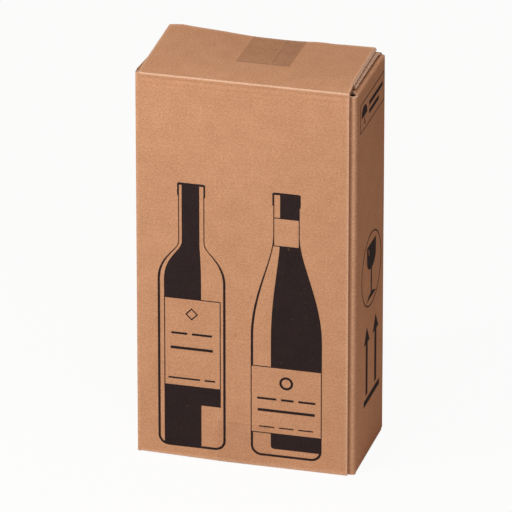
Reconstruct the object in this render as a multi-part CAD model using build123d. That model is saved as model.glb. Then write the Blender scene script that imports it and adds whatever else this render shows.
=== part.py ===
from build123d import *
import os
from math import asin, atan2, hypot, tan

# A shipping carton for two wine bottles, folded from one sheet of corrugated board, closed
# and taped, with the folded fitment that holds the bottles inside. Sizes are in millimetres.
# The origin is under the middle of the box, on the surface that it stands on. +Z is up,
# +X runs to the right along the printed front, and the front faces -Y.

# Outside of the closed carton
WIDTH = 206.0
DEPTH = 108.0
HEIGHT = 380.0

# Board, and the way it folds
BOARD = 3.0
FOLD_RADIUS = 0.5
LAYER_GAP = 0.2
SLOPE_RADIUS = 3.0

# Glued seam at the right end of the front
SEAM_INSET = 6.5
GLUE_FLAP = 35.0

# Vertical folds stop short of the flaps' folds, which leaves small holes in the corners
FRONT_CORNER_DROP = 4.0
FRONT_CORNER_FOOT = 2.0

# Top flap that closes the box: hinged at the front, free edge along the back
OUTER_FLAP_LEFT = 3.5
OUTER_FLAP_RIGHT = 9.4
OUTER_FLAP_TAPER = 24.0
OUTER_FLAP_SETBACK = 1.0
OUTER_FLAP_ROOT = 6.0

# How far the outer top flap's free edge springs up beside the tape
LEFT_CORNER_LIFT = 3.9
LEFT_LIFT = 5.2
RIGHT_LIFT = 1.6

# Top flap below it, hinged at the back
INNER_FLAP_SIDE = 7.0
INNER_FLAP_FRONT = 23.4

# Bottom flaps: the inner one is hinged at the front, the outer one at the back
BOTTOM_FLAP_SIDE = 9.0
BOTTOM_OUTER_SETBACK = 9.0
BOTTOM_INNER_SHORT = 6.0
FRONT_HINGE_DROP = 3.2
FLAP_SHOULDER = 3.5
FLAP_SHOULDER_TAPER = 5.0

# Dust flaps, one from each side, top and bottom
DUST_FLAP = 80.0
DUST_FRONT_SLOT = 10.0
DUST_BACK_SLOT = 6.0
TOP_DUST_RISE = 2.0
TOP_DUST_RUN = 5.0
BOTTOM_DUST_DROP = 5.5
BOTTOM_RUN = 6.0

# Clear closing tape, top and bottom
TAPE = 0.1
TAPE_WIDTH = 50.0
TOP_TAPE_X = 4.6
TOP_TAPE_ON_FLAP = 64.0
TOP_TAPE_ON_BACK = 55.0
BOTTOM_TAPE_X = -1.0
BOTTOM_TAPE_UNDER = 60.0
BOTTOM_TAPE_ON_FRONT = 42.0

# Printing ink
INK = 0.1
OUTLINE = 2.2
FINE_LINE = 0.8

# Printed bottles, both standing on one line above the front's bottom edge
BOTTLE_HEIGHT = 264.0
BOTTLE_FOOT = 11.6
BOTTLE_FOOT_RADIUS = 10.0
NECK_WIDTH = 24.6
LIP_HEIGHT = 13.0
LIP_STEP = 0.9

# High-shouldered bottle on the left, placed from the front's middle. Its own measures are from
# its middle line and its foot.
TALL_X = -50.6
TALL_WIDTH = 64.0
TALL_PROFILE = (166.0, 206.0, 24.0, 10.0)
TALL_GLASS_LEFT = (26.0, 9.0)
TALL_GLASS_RIGHT = (9.0, 7.6)
TALL_LABEL_X = (-26.0, 27.4)
TALL_LABEL_Z = (61.0, 149.4)
TALL_BAND = 17.6
TALL_SIGN_Z = 134.0
TALL_SIGN = 8.5
TALL_ROWS = ((113.0, 2.0, (15.0, 19.0)), (98.0, 2.6, (40.0,)), (68.0, 1.6, (30.0, 10.0)))

# Sloping bottle on the right, its label right across it
SLOPING_X = 38.7
SLOPING_WIDTH = 67.0
SLOPING_PROFILE = (118.0, 222.0, 44.0, 26.0)
SLOPING_GLASS_LEFT = (14.5, 6.0)
SLOPING_GLASS_FOOT = 8.0
SLOPING_LABEL_Z = (23.0, 90.4)
SLOPING_BAND_Z = (211.0, 239.4)
SLOPING_SIGN_Z = 75.0
SLOPING_SIGN = 13.0
SLOPING_ROWS = (
    (57.0, 2.0, (18.0, 12.0, 16.0)), (45.0, 2.6, (54.0,)), (29.0, 1.2, (14.0, 14.0, 14.0)))

# Handling marks on the right side, from its middle line and its bottom edge
GLASS_RING = 72.0
GLASS_X = 5.7
GLASS_Z = 183.8
ARROW_HEIGHT = 67.5
ARROW_FOOT = 63.7
ARROW_X = (-9.7, 22.6)
ARROW_HEAD = (19.8, 15.5)
ARROW_SHAFT = 6.7
BAR_X = (-19.6, 36.8)
BAR_Z = (53.9, 59.9)

# Framed panel near the top of the right side, from its front, back and top edges
PANEL_FRONT = 15.8
PANEL_BACK = 5.0
PANEL_TOP = 18.0
PANEL_HEIGHT = 28.3
PANEL_MARGIN = 4.5
UMBRELLA_WIDTH = 20.0
PANEL_BAR = 4.0
PANEL_BAR_START = 32.0
PANEL_BAR_END = 6.2
PANEL_SHORT_BAR = 35.0

# Fitment of thinner board
FITMENT_BOARD = 2.0
FITMENT_FIT = 0.6
BASE_CRADLE_HEIGHT = 28.0
NECK_CRADLE_HEIGHT = 70.0
BASE_HOLE_EDGE = 6.9
NECK_HOLE = 34.0
DIVIDER_LAP = 6.0

# Worked out from the sizes above
FOLD_MIDDLE = FOLD_RADIUS + BOARD / 2
FOLD_OUTER = FOLD_RADIUS + BOARD
LAYER = BOARD + LAYER_GAP
UNDERSIDE = TAPE
SIDE_MIDDLE = WIDTH / 2 - BOARD / 2
FRONT_MIDDLE = -DEPTH / 2 + BOARD / 2
BACK_MIDDLE = DEPTH / 2 - BOARD / 2
WALL_BOTTOM = UNDERSIDE + 3 * LAYER
WALL_TOP = HEIGHT - 3 * LAYER


def along_x(section, low, high):
    """A section drawn in Y and Z, drawn out from x = low to x = high."""
    return extrude(Plane.YZ.offset(low) * section, amount=high - low)


def along_y(section, low, high):
    """A section drawn in X and Z, drawn out from y = low to y = high."""
    plane = Plane(origin=(0, high, 0), x_dir=(1, 0, 0), z_dir=(0, -1, 0))
    return extrude(plane * section, amount=high - low)


def along_z(section, low, high):
    """A section drawn in X and Y, drawn out from z = low to z = high."""
    return extrude(Pos(0, 0, low) * section, amount=high - low)


def folded(points, radii, thickness=BOARD):
    """A folded sheet seen end on, from its middle line and the radius of each fold."""
    return trace(FilletPolyline(*points, radius=radii), thickness)


def wall_section():
    """The four walls and the glue flap, seen from above, the front glued onto its flap."""
    glue_middle = FRONT_MIDDLE + BOARD
    corners = [
        (0, FRONT_MIDDLE),
        (-SIDE_MIDDLE, FRONT_MIDDLE),
        (-SIDE_MIDDLE, BACK_MIDDLE),
        (SIDE_MIDDLE, BACK_MIDDLE),
        (SIDE_MIDDLE, glue_middle),
        (SIDE_MIDDLE - GLUE_FLAP, glue_middle),
    ]
    seam_end = (WIDTH / 2 - SEAM_INSET, FRONT_MIDDLE)
    return folded(corners, FOLD_MIDDLE) + trace(Line((0, FRONT_MIDDLE), seam_end), BOARD)


def corner_post(walls, x_side, y_side, low, high):
    """The walls' section at one vertical fold, at its own height beside the flaps' slots."""
    reach = SEAM_INSET - LAYER_GAP
    place = Pos(x_side * (WIDTH - reach) / 2, y_side * (DEPTH - reach) / 2)
    return along_z(walls & (place * Rectangle(reach, reach)), low, high)


def flap_section(wall, wall_end, level, end, rise=0.0, run=0.0):
    """A flap seen end on: along the wall's middle line, over the fold, then out to its end.

    With a rise, the pressed fold stands past the flap's own level, and the flap slopes back.
    """
    corners = [(wall, wall_end), (wall, level + rise), (end, level)]
    radii = [FOLD_MIDDLE]
    if rise:
        inward = 1 if end > wall else -1
        corners.insert(2, (wall + inward * run, level))
        radii.append(SLOPE_RADIUS)
    return folded(corners, radii)


def full_width(section, hinge_side, at_hinge, beyond, taper):
    """A flap hinged at the front (-1) or the back (1), cut to its outline in plan.

    at_hinge and beyond are the insets from the left and right sides, at the hinge and after
    the taper.
    """
    hinge = hinge_side * DEPTH / 2
    neck = hinge - hinge_side * taper
    free = -hinge_side * DEPTH
    left, right = -WIDTH / 2, WIDTH / 2
    outline = Polyline(
        (left + at_hinge[0], hinge),
        (left + beyond[0], neck),
        (left + beyond[0], free),
        (right - beyond[1], free),
        (right - beyond[1], neck),
        (right - at_hinge[1], hinge),
        close=True,
    )
    flap = along_x(section, left, right)
    return flap & along_z(make_face(outline), -LAYER, HEIGHT + LAYER)


def dust_flap(side, wall_end, level, rise, run):
    """A dust flap folded in from the left (-1) or right (1) side."""
    end = side * (WIDTH / 2 - DUST_FLAP)
    section = flap_section(side * SIDE_MIDDLE, wall_end, level, end, rise, run)
    return along_y(section, -DEPTH / 2 + DUST_FRONT_SLOT, DEPTH / 2 - DUST_BACK_SLOT)


def sprung_edge(y, top, share):
    """The outer top flap's cross-section at y, where share is how much of the lift it has.

    It is flat under the tape and springs up towards both corners.
    """
    x_left = -WIDTH / 2 + OUTER_FLAP_LEFT
    x_tape = TOP_TAPE_X - TAPE_WIDTH / 2
    x_free = TOP_TAPE_X + TAPE_WIDTH / 2
    x_right = WIDTH / 2 - SEAM_INSET
    left_run = x_tape - x_left
    right_run = x_right - x_free

    def upper(offset):
        z = top + offset
        left = Spline(
            (x_left, y, z + share * LEFT_CORNER_LIFT),
            (x_left + 0.16 * left_run, y, z + share * LEFT_LIFT),
            (x_left + 0.55 * left_run, y, z + share * LEFT_LIFT / 2),
            (x_tape, y, z),
            tangents=[(1, 0, share * 0.2), (1, 0, 0)],
        )
        middle = Line((x_tape, y, z), (x_free, y, z))
        right = Spline(
            (x_free, y, z),
            (x_free + 0.3 * right_run, y, z + share * RIGHT_LIFT * 0.55),
            (x_right, y, z + share * RIGHT_LIFT),
            tangents=[(1, 0, 0), (1, 0, share * 0.03)],
        )
        return [left, middle, right]

    over = upper(0)
    under = upper(-BOARD)
    sides = [Line(under[0] @ 0, over[0] @ 0), Line(over[2] @ 1, under[2] @ 1)]
    return make_face(over + sides + under)


def outer_top_flap():
    """The printed front's top flap, over its fold and back to the taped free edge."""
    root = -DEPTH / 2 + OUTER_FLAP_ROOT
    free = DEPTH / 2 - OUTER_FLAP_SETBACK
    hinge = flap_section(FRONT_MIDDLE, WALL_TOP, HEIGHT - BOARD / 2, root)
    sheet = loft([sprung_edge(root, HEIGHT, 0.0), sprung_edge(free, HEIGHT, 1.0)], ruled=True)
    hinge_part = along_x(hinge, -WIDTH / 2 + OUTER_FLAP_LEFT, WIDTH / 2 - SEAM_INSET)
    taper = Polyline(
        (WIDTH / 2 - SEAM_INSET, -DEPTH / 2 + FOLD_OUTER),
        (WIDTH / 2 - OUTER_FLAP_RIGHT, -DEPTH / 2 + OUTER_FLAP_TAPER),
        (WIDTH / 2 - OUTER_FLAP_RIGHT, DEPTH),
        (WIDTH, DEPTH),
        (WIDTH, -DEPTH / 2 + FOLD_OUTER),
        close=True,
    )
    cut = along_z(make_face(taper), HEIGHT - 2 * LAYER, HEIGHT + 2 * LEFT_LIFT)
    return hinge_part + sheet - cut


def outer_case():
    """The whole carton as the one folded sheet that it is."""
    walls = wall_section()
    case = along_z(walls, WALL_BOTTOM, WALL_TOP)

    for x_side in (-1, 1):
        case += corner_post(walls, x_side, -1, WALL_TOP, HEIGHT - FRONT_CORNER_DROP)
        case += corner_post(walls, x_side, -1, UNDERSIDE + FRONT_CORNER_FOOT, WALL_BOTTOM)
        case += corner_post(walls, x_side, 1, WALL_TOP, HEIGHT - LAYER - FOLD_OUTER)
        case += corner_post(walls, x_side, 1, UNDERSIDE + FOLD_OUTER, WALL_BOTTOM)
        dust_top = HEIGHT - 2 * LAYER - BOARD / 2
        dust_bottom = UNDERSIDE + 2 * LAYER + BOARD / 2
        case += dust_flap(x_side, WALL_TOP, dust_top, TOP_DUST_RISE, TOP_DUST_RUN)
        case += dust_flap(x_side, WALL_BOTTOM, dust_bottom, -BOTTOM_DUST_DROP, BOTTOM_RUN)

    inner_top = flap_section(
        BACK_MIDDLE, WALL_TOP, HEIGHT - LAYER - BOARD / 2, -DEPTH / 2 + INNER_FLAP_FRONT)
    case += full_width(inner_top, 1, (FLAP_SHOULDER, FLAP_SHOULDER),
                       (INNER_FLAP_SIDE, INNER_FLAP_SIDE), FLAP_SHOULDER_TAPER)
    case += outer_top_flap()

    inner_bottom = flap_section(
        FRONT_MIDDLE, WALL_BOTTOM, UNDERSIDE + LAYER + BOARD / 2, DEPTH / 2 - BOTTOM_INNER_SHORT,
        -FRONT_HINGE_DROP, BOTTOM_RUN)
    case += full_width(inner_bottom, -1, (FLAP_SHOULDER, SEAM_INSET),
                       (BOTTOM_FLAP_SIDE, BOTTOM_FLAP_SIDE), DUST_FRONT_SLOT)
    outer_bottom = flap_section(
        BACK_MIDDLE, WALL_BOTTOM, UNDERSIDE + BOARD / 2, -DEPTH / 2 + BOTTOM_OUTER_SETBACK)
    case += full_width(outer_bottom, 1, (FLAP_SHOULDER, FLAP_SHOULDER),
                       (BOTTOM_FLAP_SIDE, BOTTOM_FLAP_SIDE), FLAP_SHOULDER_TAPER)
    return case


def tape_strip(inner_line, x_middle):
    """A strip of tape that lies to the right of the given line, drawn in Y and Z."""
    section = make_face(offset(inner_line, TAPE, kind=Kind.INTERSECTION, side=Side.RIGHT))
    return along_x(section, x_middle - TAPE_WIDTH / 2, x_middle + TAPE_WIDTH / 2)


def top_tape():
    """Tape from the outer top flap over its free edge, taut to the fold below, down the back."""
    edge_to_fold = FOLD_OUTER - OUTER_FLAP_SETBACK
    top_to_fold = LAYER + FOLD_OUTER
    lean = asin(FOLD_OUTER / hypot(edge_to_fold, top_to_fold)) - atan2(edge_to_fold, top_to_fold)
    line = FilletPolyline(
        (DEPTH / 2, HEIGHT - TOP_TAPE_ON_BACK),
        (DEPTH / 2, HEIGHT - OUTER_FLAP_SETBACK / tan(lean)),
        (DEPTH / 2 - OUTER_FLAP_SETBACK, HEIGHT),
        (DEPTH / 2 - TOP_TAPE_ON_FLAP, HEIGHT),
        radius=[FOLD_OUTER, 0],
    )
    return tape_strip(line, TOP_TAPE_X)


def bottom_tape():
    """Tape from under the bottom, over the bottom flap's free edge and up the front."""
    lift_off = -DEPTH / 2 + BOTTOM_OUTER_SETBACK - FOLD_RADIUS
    line = FilletPolyline(
        (-DEPTH / 2 - INK, BOTTOM_TAPE_ON_FRONT),
        (-DEPTH / 2 - INK, UNDERSIDE + FOLD_RADIUS),
        (lift_off, UNDERSIDE),
        (-DEPTH / 2 + BOTTOM_TAPE_UNDER, UNDERSIDE),
        radius=[FOLD_OUTER, 0],
    )
    return tape_strip(line, BOTTOM_TAPE_X)


def on_front(drawing):
    """Ink on the front, drawn in X from its middle line and Z from the bottom."""
    face = Plane(origin=(0, -DEPTH / 2, 0), x_dir=(1, 0, 0), z_dir=(0, -1, 0))
    return extrude(face * drawing, amount=INK)


def on_right_side(drawing):
    """Ink on the right side, drawn in Y from its middle line and Z from the bottom."""
    face = Plane(origin=(WIDTH / 2, 0, 0), x_dir=(0, 1, 0), z_dir=(1, 0, 0))
    return extrude(face * drawing, amount=INK)


def box_between(x_range, z_range):
    """A plain printed field between two positions each way."""
    width = x_range[1] - x_range[0]
    height = z_range[1] - z_range[0]
    return Pos(x_range[0] + width / 2, z_range[0] + height / 2) * Rectangle(width, height)


def frame_between(x_range, z_range, line):
    """A printed frame of the given line width."""
    inside = box_between((x_range[0] + line, x_range[1] - line),
                         (z_range[0] + line, z_range[1] - line))
    return box_between(x_range, z_range) - inside


def bottle_half(half_widths, profile, ends, foot_radius):
    """Half a bottle's silhouette, to the right of its middle line.

    half_widths are the body's and the neck's. profile is the height where the body ends, the
    height where the neck begins, and how far the curve between keeps each one's direction.
    """
    body, neck = half_widths
    shoulder, neck_start, shoulder_pull, neck_pull = profile
    foot, top = ends
    return make_face([
        Polyline((0, top), (0, foot), (body - foot_radius, foot)),
        RadiusArc((body - foot_radius, foot), (body, foot + foot_radius), -foot_radius),
        Line((body, foot + foot_radius), (body, shoulder)),
        Bezier((body, shoulder), (body, shoulder + shoulder_pull),
               (neck, neck_start - neck_pull), (neck, neck_start)),
        Polyline((neck, neck_start), (neck, top), (0, top)),
    ])


def silhouette(left, right, profile, ends, foot_radius):
    """A bottle's silhouette that may differ to the left and right of its middle line."""
    left_half = mirror(bottle_half(left, profile, ends, foot_radius), about=Plane.YZ)
    return left_half + bottle_half(right, profile, ends, foot_radius)


def bottle_figure(width, profile, glass_left, glass_right, glass_foot):
    """A bottle drawn as an outline with dark glass in it, and a bare rim of light between."""
    half = (width / 2, NECK_WIDTH / 2)
    inner = (half[0] - OUTLINE, half[1] - FINE_LINE)
    lip = box_between((-half[1] - LIP_STEP, half[1] + LIP_STEP),
                      (BOTTLE_HEIGHT - LIP_HEIGHT, BOTTLE_HEIGHT - LIP_STEP))
    outside = silhouette(half, half, profile, (0, BOTTLE_HEIGHT), BOTTLE_FOOT_RADIUS) + lip
    inside = silhouette(inner, inner, profile, (OUTLINE, BOTTLE_HEIGHT - OUTLINE),
                        BOTTLE_FOOT_RADIUS - OUTLINE)
    glass = silhouette(glass_left, glass_right, profile, (glass_foot, BOTTLE_HEIGHT),
                       min(BOTTLE_FOOT_RADIUS, *glass_left, *glass_right) / 2)
    return outside, outside - inside + (glass & outside)


def label_rows(rows):
    """Plain printed bars in place of a label's words: (height, thickness, lengths) a row."""
    gap = 2 * OUTLINE
    bars = Sketch()
    for height, thickness, lengths in rows:
        x = -(sum(lengths) + gap * (len(lengths) - 1)) / 2
        for length in lengths:
            bars += box_between((x, x + length), (height, height + thickness))
            x += length + gap
    return bars


def high_shouldered_bottle():
    """The left bottle: straight sides, high shoulders, a framed label over a dark band."""
    _, ink = bottle_figure(TALL_WIDTH, TALL_PROFILE, TALL_GLASS_LEFT, TALL_GLASS_RIGHT, 0)
    ink -= box_between(TALL_LABEL_X, TALL_LABEL_Z)
    ink += frame_between(TALL_LABEL_X, TALL_LABEL_Z, FINE_LINE)
    ink += box_between(TALL_LABEL_X, (TALL_LABEL_Z[0] - TALL_BAND, TALL_LABEL_Z[0]))
    sign = Rectangle(TALL_SIGN, TALL_SIGN) - Rectangle(TALL_SIGN - OUTLINE, TALL_SIGN - OUTLINE)
    ink += Pos(0, TALL_SIGN_Z) * Rot(0, 0, 45) * sign
    return ink + label_rows(TALL_ROWS)


def sloping_bottle():
    """The right bottle: long sloping shoulders, a neck band and a label right across."""
    glass_right = (SLOPING_WIDTH / 2, NECK_WIDTH / 2)
    outside, ink = bottle_figure(SLOPING_WIDTH, SLOPING_PROFILE, SLOPING_GLASS_LEFT, glass_right,
                                 SLOPING_GLASS_FOOT)
    for (low, high), half in ((SLOPING_LABEL_Z, glass_right[0]), (SLOPING_BAND_Z, glass_right[1])):
        bare = outside & box_between((FINE_LINE - half, half - FINE_LINE),
                                     (low + FINE_LINE, high - FINE_LINE))
        ink += outside & box_between((-half, half), (low, high))
        ink -= bare
    sign = Circle(SLOPING_SIGN / 2) - Circle(SLOPING_SIGN / 2 - OUTLINE)
    return ink + Pos(0, SLOPING_SIGN_Z) * sign + label_rows(SLOPING_ROWS)


def front_print():
    """Both printed bottles, as fields of ink on the front."""
    left = Pos(TALL_X, BOTTLE_FOOT) * high_shouldered_bottle()
    right = Pos(SLOPING_X, BOTTLE_FOOT) * sloping_bottle()
    return on_front(left + right)


def fragile_glass():
    """A wine glass in a ring, the usual mark for fragile goods. Its sizes go with the ring."""
    unit = GLASS_RING / 72
    bowl_half, bowl_rim, bowl_middle, bowl_depth = 16 * unit, 26 * unit, 12 * unit, 11.5 * unit
    stem_half, foot_half, foot_z, foot_top = 1.8 * unit, 17 * unit, -28 * unit, -23.6 * unit
    ring = Circle(GLASS_RING / 2) - Circle(GLASS_RING / 2 - 1.5 * FINE_LINE)
    bowl = box_between((-bowl_half, bowl_half), (bowl_middle, bowl_rim))
    bowl += Pos(0, bowl_middle) * Ellipse(bowl_half, bowl_depth)
    shine = Pos(-0.6 * bowl_half, 0.75 * bowl_rim) * Rot(0, 0, 20)
    bowl -= shine * Rectangle(OUTLINE, bowl_half / 2)
    stem = box_between((-stem_half, stem_half), (foot_z, bowl_middle))
    foot = make_face(Polyline(
        (-foot_half, foot_z), (foot_half, foot_z), (foot_half / 3, foot_top),
        (-foot_half / 3, foot_top), close=True))
    return ring + bowl + stem + foot


def up_arrow(x_middle):
    """One arrow that points up, its shaft standing free above the ground bar."""
    head, shaft = ARROW_HEAD[0] / 2, ARROW_SHAFT / 2
    tip = ARROW_FOOT + ARROW_HEIGHT
    neck = tip - ARROW_HEAD[1]
    outline = Polyline(
        (0, tip), (head, neck), (shaft, neck), (shaft, ARROW_FOOT),
        (-shaft, ARROW_FOOT), (-shaft, neck), (-head, neck), close=True)
    return Pos(x_middle, 0) * make_face(outline)


def umbrella():
    """An umbrella, the usual mark for goods to be kept dry. Its foot is at the origin."""
    canopy, rod = UMBRELLA_WIDTH / 2, 1.5 * FINE_LINE
    canopy_z, hook = 0.9 * canopy, canopy / 4
    dome = Pos(0, canopy_z) * Circle(canopy)
    dome &= box_between((-canopy, canopy), (canopy_z, canopy_z + canopy))
    handle = box_between((-rod / 2, rod / 2), (hook, canopy_z + rod))
    bend = Pos(hook - rod / 2, hook) * (Circle(hook) - Circle(hook - rod))
    bend &= box_between((-hook, 2 * hook), (0, hook))
    return dome + handle + bend


def framed_panel():
    """A frame with an umbrella in it and two plain bars in place of words."""
    left, right = -DEPTH / 2 + PANEL_FRONT, DEPTH / 2 - PANEL_BACK
    top = HEIGHT - PANEL_TOP
    bottom = top - PANEL_HEIGHT
    bar_left, bar_right = left + PANEL_BAR_START, right - PANEL_BAR_END
    bar_z = bottom + PANEL_HEIGHT / 2 + PANEL_BAR / 2
    panel = frame_between((left, right), (bottom, top), FINE_LINE)
    panel += Pos(left + PANEL_MARGIN + UMBRELLA_WIDTH / 2, bottom + PANEL_MARGIN) * umbrella()
    panel += box_between((bar_left, bar_right), (bar_z, bar_z + PANEL_BAR))
    return panel + box_between((bar_left, bar_left + PANEL_SHORT_BAR),
                               (bar_z - 2 * PANEL_BAR, bar_z - PANEL_BAR))


def side_print():
    """Handling marks on the right side, and the framed panel above them."""
    marks = Pos(GLASS_X, GLASS_Z) * fragile_glass()
    for x_middle in ARROW_X:
        marks += up_arrow(x_middle)
    marks += box_between(BAR_X, BAR_Z)
    return on_right_side(marks + framed_panel())


def fitment_limits():
    """The room that the carton leaves inside: low and high in x, y and z."""
    return (
        (-WIDTH / 2 + BOARD + FITMENT_FIT, WIDTH / 2 - BOARD - FITMENT_FIT),
        (-DEPTH / 2 + 2 * BOARD + FITMENT_FIT, DEPTH / 2 - BOARD - FITMENT_FIT),
        (UNDERSIDE + 2 * LAYER + BOARD, HEIGHT - 2 * LAYER - BOARD - LAYER_GAP),
    )


def cell_width():
    """The room for one bottle, side to side, with the other one beside it."""
    (x_low, x_high), _, _ = fitment_limits()
    return (x_high - x_low) / 2


def cradle(platform_side, foot, height, hole):
    """A folded bridge with a hole for each bottle, its legs at both ends.

    platform_side is 1 for a platform above its legs and -1 for one below them, and foot is
    the level that the legs stand on or reach up to.
    """
    (x_low, x_high), (y_low, y_high), _ = fitment_limits()
    half = FITMENT_BOARD / 2
    platform = foot + platform_side * (height - half)
    corners = [(x_low + half, foot), (x_low + half, platform),
               (x_high - half, platform), (x_high - half, foot)]
    section = folded(corners, FOLD_RADIUS + half, FITMENT_BOARD)
    bridge = along_y(section, y_low, y_high)
    for x_side in (-1, 1):
        place = Pos(x_side * cell_width() / 2, (y_low + y_high) / 2, platform)
        bridge -= place * Cylinder(hole / 2, 2 * FITMENT_BOARD)
    return bridge


def base_cradle():
    """Holds the feet of the bottles clear of the walls, in holes with an edge all round."""
    _, (y_low, y_high), (floor, _) = fitment_limits()
    hole = min(cell_width(), y_high - y_low) - 2 * BASE_HOLE_EDGE
    return cradle(1, floor, BASE_CRADLE_HEIGHT, hole)


def neck_cradle():
    """Holds the necks of the bottles, its legs reaching up to the top flaps."""
    ceiling = fitment_limits()[2][1]
    return cradle(-1, ceiling, NECK_CRADLE_HEIGHT, NECK_HOLE)


def bottle_divider():
    """One sheet folded in an S round both bottles, so that it also parts them."""
    (x_low, x_high), (y_low, y_high), (floor, ceiling) = fitment_limits()
    half = FITMENT_BOARD / 2
    left, right = x_low + half, x_high - half
    front, back = y_low + half, y_high - half
    end = DIVIDER_LAP
    corners = [(-end, front), (left, front), (left, back), (0, back),
               (0, front), (right, front), (right, back), (end, back)]
    section = folded(corners, FOLD_RADIUS + half, FITMENT_BOARD)
    return along_z(section, floor + BASE_CRADLE_HEIGHT, ceiling - NECK_CRADLE_HEIGHT)


NODES = {
    "outer_case": outer_case,
    "top_tape": top_tape,
    "bottom_tape": bottom_tape,
    "front_print": front_print,
    "side_print": side_print,
    "base_cradle": base_cradle,
    "bottle_divider": bottle_divider,
    "neck_cradle": neck_cradle,
}

os.makedirs("parts", exist_ok=True)
for name, make in NODES.items():
    shape = make()
    print(f"{name}: {len(shape.solids())} solids, {shape.volume:.0f} mm3, valid {shape.is_valid}")
    export_step(shape, f"parts/{name}.step")
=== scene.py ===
# %% [markdown]
# # A carton for two wine bottles
#
# This carton is one sheet of corrugated board, folded, glued down one corner and closed with
# clear tape. The solid model around which this scene is built already has its true size and
# every fold, but its board is a plain slab. Here the board gets what makes cardboard look
# like cardboard: two sheets of brown liner paper with a wavy sheet between them, fibres and
# mottling in the paper, pale cut edges, rolled folds, and tape with creases in it.
#
# The first step loads the solid model as a fixed frame.

import math

import bpy
import numpy as np
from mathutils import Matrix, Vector, noise


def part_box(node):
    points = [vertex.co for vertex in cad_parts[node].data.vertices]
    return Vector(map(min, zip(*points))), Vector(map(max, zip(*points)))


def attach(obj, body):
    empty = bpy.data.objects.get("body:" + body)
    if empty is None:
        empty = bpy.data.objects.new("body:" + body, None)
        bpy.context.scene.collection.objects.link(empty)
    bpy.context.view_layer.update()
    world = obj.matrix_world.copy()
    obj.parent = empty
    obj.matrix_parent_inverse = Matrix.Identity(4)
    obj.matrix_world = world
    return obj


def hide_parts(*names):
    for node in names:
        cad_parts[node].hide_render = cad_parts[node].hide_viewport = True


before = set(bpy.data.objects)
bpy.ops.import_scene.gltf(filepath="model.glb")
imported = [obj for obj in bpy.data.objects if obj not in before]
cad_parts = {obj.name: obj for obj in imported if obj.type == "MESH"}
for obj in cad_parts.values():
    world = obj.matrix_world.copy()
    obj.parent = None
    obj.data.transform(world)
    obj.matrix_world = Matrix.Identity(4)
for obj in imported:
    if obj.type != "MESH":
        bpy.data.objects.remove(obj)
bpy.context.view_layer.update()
print("nodes:", sorted(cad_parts))

# %% [markdown]
# ## Sizes
#
# The outside sizes are read from the frame, so that the dressed carton always has the size of
# the solid one. The board's own sizes are those of common single-wall board: about 3 mm thick,
# with a wave every 6 mm or so. A layer is the board and the bit of air between two flaps. All
# of them are in millimetres, which are easy to read, and are turned into metres once, when a
# mesh is made.

# %% Sizes in millimetres
MM = 0.001
case_low, case_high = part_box("outer_case")
TAPE = 0.1
WIDTH = (case_high.x - case_low.x) / MM
DEPTH = (case_high.y - case_low.y) / MM
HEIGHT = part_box("top_tape")[1].z / MM - TAPE
FRONT_FACE, BACK_FACE = -DEPTH / 2, DEPTH / 2
BOARD = 3.0
HALF = BOARD / 2
LINER = 0.35
FLUTING = 0.3
FLUTE_PITCH = 6.2
FLUTE_HEIGHT = BOARD - 2 * LINER - FLUTING
LAYER = 3.2
MIDDLE_FOLD = 2.0
SLOPE_FOLD = 3.0
SHARP_FOLD = 0.8
LIFT_ROOM = case_high.z / MM - HEIGHT
SIDE_X = WIDTH / 2 - HALF
FRONT_Y = FRONT_FACE + HALF
BACK_Y = BACK_FACE - HALF
FLAT_X = SIDE_X - MIDDLE_FOLD
FLAT_Y = BACK_Y - MIDDLE_FOLD
SEAM_X = WIDTH / 2 - 6.5
print(f"carton {WIDTH:.1f} x {DEPTH:.1f} x {HEIGHT:.1f} mm, flap lifts {LIFT_ROOM:.1f} mm")

# %% [markdown]
# ## A bent sheet
#
# Seen end on, each wall with its two flaps is one line that runs over the folds. If that line
# is walked from end to end, noting the place and the outward direction at every step, then a
# layer of the board is just the same line pushed out or in by some distance. So one helper
# walks a line with rounded corners, and the layers follow from it. The line always goes
# clockwise, so that its left-hand side is the outside of the carton.

# %% Walk along a line with rounded corners


def walk(points, step, arc_steps=9):
    """Places, outward directions and distances along a line.

    A point may have a third number, the radius of the fold there.
    """
    corners = [np.array(p[:2], float) for p in points]
    radii = [p[2] if len(p) > 2 else 0.0 for p in points]
    places, ways = [], []

    def run(start, end):
        length = np.linalg.norm(end - start)
        if length > 1e-6:
            for share in np.linspace(0, 1, max(2, math.ceil(length / step - 1e-6) + 1)):
                places.append(start + share * (end - start))
                ways.append((end - start) / length)

    cursor = corners[0]
    for before, corner, after, radius in zip(corners, corners[1:], corners[2:], radii[1:]):
        way_in = (corner - before) / np.linalg.norm(corner - before)
        way_out = (after - corner) / np.linalg.norm(after - corner)
        turn = math.atan2(way_in[0] * way_out[1] - way_in[1] * way_out[0], way_in @ way_out)
        back_off = radius * math.tan(abs(turn) / 2)
        start = corner - back_off * way_in
        run(cursor, start)
        cursor = corner + back_off * way_out
        if back_off > 1e-6:
            side = math.copysign(1, turn)
            centre = start + side * radius * np.array((-way_in[1], way_in[0]))
            for angle in np.linspace(0, turn, arc_steps + 1):
                spin = np.array(((math.cos(angle), -math.sin(angle)),
                                 (math.sin(angle), math.cos(angle))))
                places.append(centre + spin @ (start - centre))
                ways.append(spin @ way_in)
    run(cursor, corners[-1])
    places, ways = np.array(places), np.array(ways)
    keep = np.r_[True, np.linalg.norm(np.diff(places, axis=0), axis=1) > 1e-6]
    places, ways = places[keep], ways[keep]
    distances = np.r_[0, np.cumsum(np.linalg.norm(np.diff(places, axis=0), axis=1))]
    return places, np.c_[-ways[:, 1], ways[:, 0]], distances


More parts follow.
